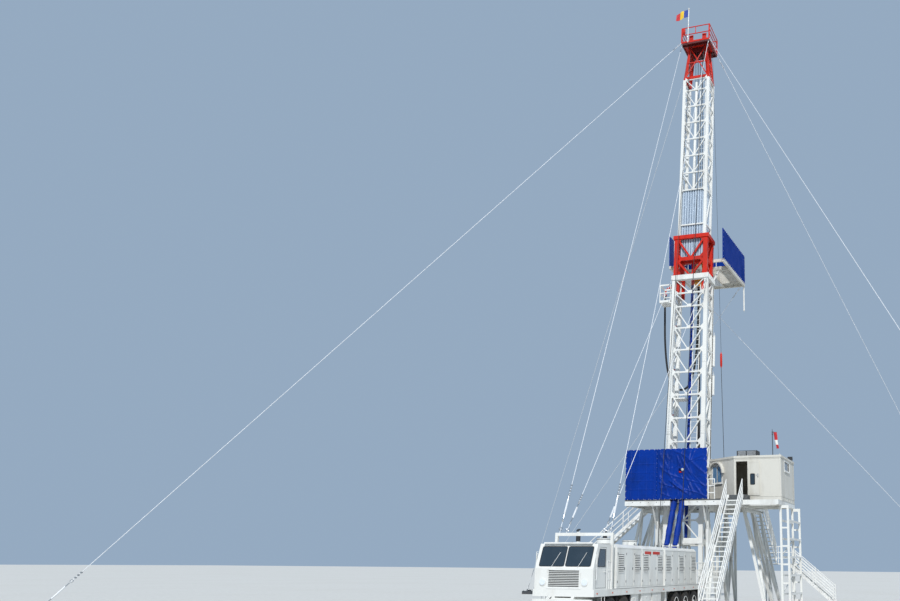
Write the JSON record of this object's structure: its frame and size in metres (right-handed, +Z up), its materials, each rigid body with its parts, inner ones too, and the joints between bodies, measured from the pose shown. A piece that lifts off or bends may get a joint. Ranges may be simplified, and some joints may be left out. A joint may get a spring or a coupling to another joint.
{
  "type": "drilling rig",
  "caption": "Mobile oil drilling rig, rigged up: carrier, leaning telescopic mast held by guy wires, drill floor with wind walls, doghouse and pipe board.",
  "frame": {"origin": "the centre of the well at ground level", "axes": "+X leaves the rig through the V-door, away from the carrier; +Y is the standpipe side; +Z is up"},
  "size_m": [39.8, 39.9, 37.9026],
  "materials": {
    "carrier_chassis": "white paint, dusty",
    "carrier_wheels": "worn tyre",
    "carrier_cab": "white paint, dusty",
    "carrier_housings": "white paint, dusty",
    "mast_stand": "white paint, dusty",
    "raising_cylinders": "blue wrapping sheet",
    "mast_lower_back": "white paint, dusty",
    "mast_lower_sides": "white paint, dusty",
    "mast_collar": "red gloss paint, weathered",
    "mast_upper_back": "white paint, dusty",
    "mast_upper_sides": "white paint, dusty",
    "mast_cladding": "galvanised corrugated sheet",
    "extension_ram": "blue wrapping sheet",
    "mast_top_frame": "red gloss paint, weathered",
    "crown_block": "dark red paint",
    "crown_platform": "red gloss paint, weathered",
    "crown_sheaves": "worn red paint and bare rope groove",
    "flagpole": "white paint, dusty",
    "flag": "light cloth",
    "board_frame": "cream paint, streaked",
    "board_fingers": "cream paint, streaked",
    "board_walls": "dark blue paint",
    "board_struts": "white paint, dusty",
    "standpipe": "red gloss paint, weathered",
    "rotary_hose": "black rubber cover",
    "travelling_block": "yellow paint, greasy",
    "swivel": "yellow paint, greasy",
    "drilling_lines": "steel rope",
    "kelly": "dark worn steel",
    "kelly_bushing": "dark worn steel",
    "rotary_table": "dark grey steel",
    "mast_fittings": "white paint, dusty",
    "substructure": "pale grey paint",
    "floor_frame": "pale grey paint",
    "floor_deck": "dark grey steel",
    "wind_walls": "dark blue paint",
    "rear_tarp": "creased blue tarpaulin",
    "window_frames": "white paint, dusty",
    "window_glass": "dark window glass",
    "v_door": "dark blue paint",
    "floor_door": "dark blue paint",
    "doghouse_walls": "cream paint, streaked",
    "doghouse_roof": "dusty pale paint",
    "doghouse_base": "cream paint, streaked",
    "doghouse_door": "cream paint, streaked",
    "doghouse_tower": "white paint, dusty",
    "roof_unit": "dusty pale paint",
    "windsock_pole": "dark grey steel",
    "windsock": "light cloth",
    "floodlights": "dark grey steel",
    "stair_stringers": "white paint, dusty",
    "stair_treads": "white paint, dusty",
    "stair_rails": "white paint, dusty",
    "platform_rails": "white paint, dusty",
    "guy_wires": "steel rope",
    "guy_anchors": "dark grey steel"
  },
  "bodies": {
    "rig": {"carrier_chassis": "carrier_chassis", "carrier_wheels": "carrier_wheels", "carrier_cab": "carrier_cab", "carrier_housings": "carrier_housings", "mast_stand": "mast_stand", "raising_cylinders": "raising_cylinders", "mast_lower_back": "mast_lower_back", "mast_lower_sides": "mast_lower_sides", "mast_collar": "mast_collar", "mast_upper_back": "mast_upper_back", "mast_upper_sides": "mast_upper_sides", "mast_cladding": "mast_cladding", "extension_ram": "extension_ram", "mast_top_frame": "mast_top_frame", "crown_block": "crown_block", "crown_platform": "crown_platform", "flagpole": "flagpole", "flag": "flag", "board_frame": "board_frame", "board_fingers": "board_fingers", "board_walls": "board_walls", "board_struts": "board_struts", "standpipe": "standpipe", "rotary_hose": "rotary_hose", "travelling_block": "travelling_block", "swivel": "swivel", "drilling_lines": "drilling_lines", "rotary_table": "rotary_table", "mast_fittings": "mast_fittings", "substructure": "substructure", "floor_frame": "floor_frame", "floor_deck": "floor_deck", "wind_walls": "wind_walls", "rear_tarp": "rear_tarp", "window_frames": "window_frames", "window_glass": "window_glass", "doghouse_walls": "doghouse_walls", "doghouse_roof": "doghouse_roof", "doghouse_base": "doghouse_base", "doghouse_tower": "doghouse_tower", "roof_unit": "roof_unit", "windsock_pole": "windsock_pole", "floodlights": "floodlights", "stair_stringers": "stair_stringers", "stair_treads": "stair_treads", "stair_rails": "stair_rails", "platform_rails": "platform_rails", "guy_wires": "guy_wires", "guy_anchors": "guy_anchors"},
    "v_door_leaf": {"v_door": "v_door"},
    "floor_door_leaf": {"floor_door": "floor_door"},
    "doghouse_door_leaf": {"doghouse_door": "doghouse_door"},
    "kelly_string": {"kelly": "kelly", "kelly_bushing": "kelly_bushing"},
    "crown_sheave_pair": {"crown_sheaves": "crown_sheaves"},
    "windsock_body": {"windsock": "windsock"}
  },
  "joints": [
    {"name": "v_door_hinge", "type": "hinge", "parent": "rig", "child": "v_door_leaf", "pos_m": [2.777, 0.525, 6], "axis": [0, 0, 1], "range_deg": [-90, 60]},
    {"name": "floor_door_hinge", "type": "hinge", "parent": "rig", "child": "floor_door_leaf", "pos_m": [2.777, -2.88, 6], "axis": [0, 0, 1], "range_deg": [0, 90]},
    {"name": "doghouse_door_hinge", "type": "hinge", "parent": "rig", "child": "doghouse_door_leaf", "pos_m": [-3.127, -3.645, 6.15], "axis": [0, 0, 1], "range_deg": [-180, 0]},
    {"name": "kelly_spin", "type": "hinge", "parent": "rig", "child": "kelly_string", "pos_m": [0, 0, 7.1], "axis": [0, 0, 1], "continuous": true},
    {"name": "crown_sheaves_spin", "type": "hinge", "parent": "rig", "child": "crown_sheave_pair", "pos_m": [0.05294, 0, 35.49177], "axis": [0, 1, 0], "continuous": true},
    {"name": "windsock_swivel", "type": "hinge", "parent": "rig", "child": "windsock_body", "pos_m": [-2.5, -4.87, 9.12], "axis": [0, 0, 1], "continuous": true}
  ]
}
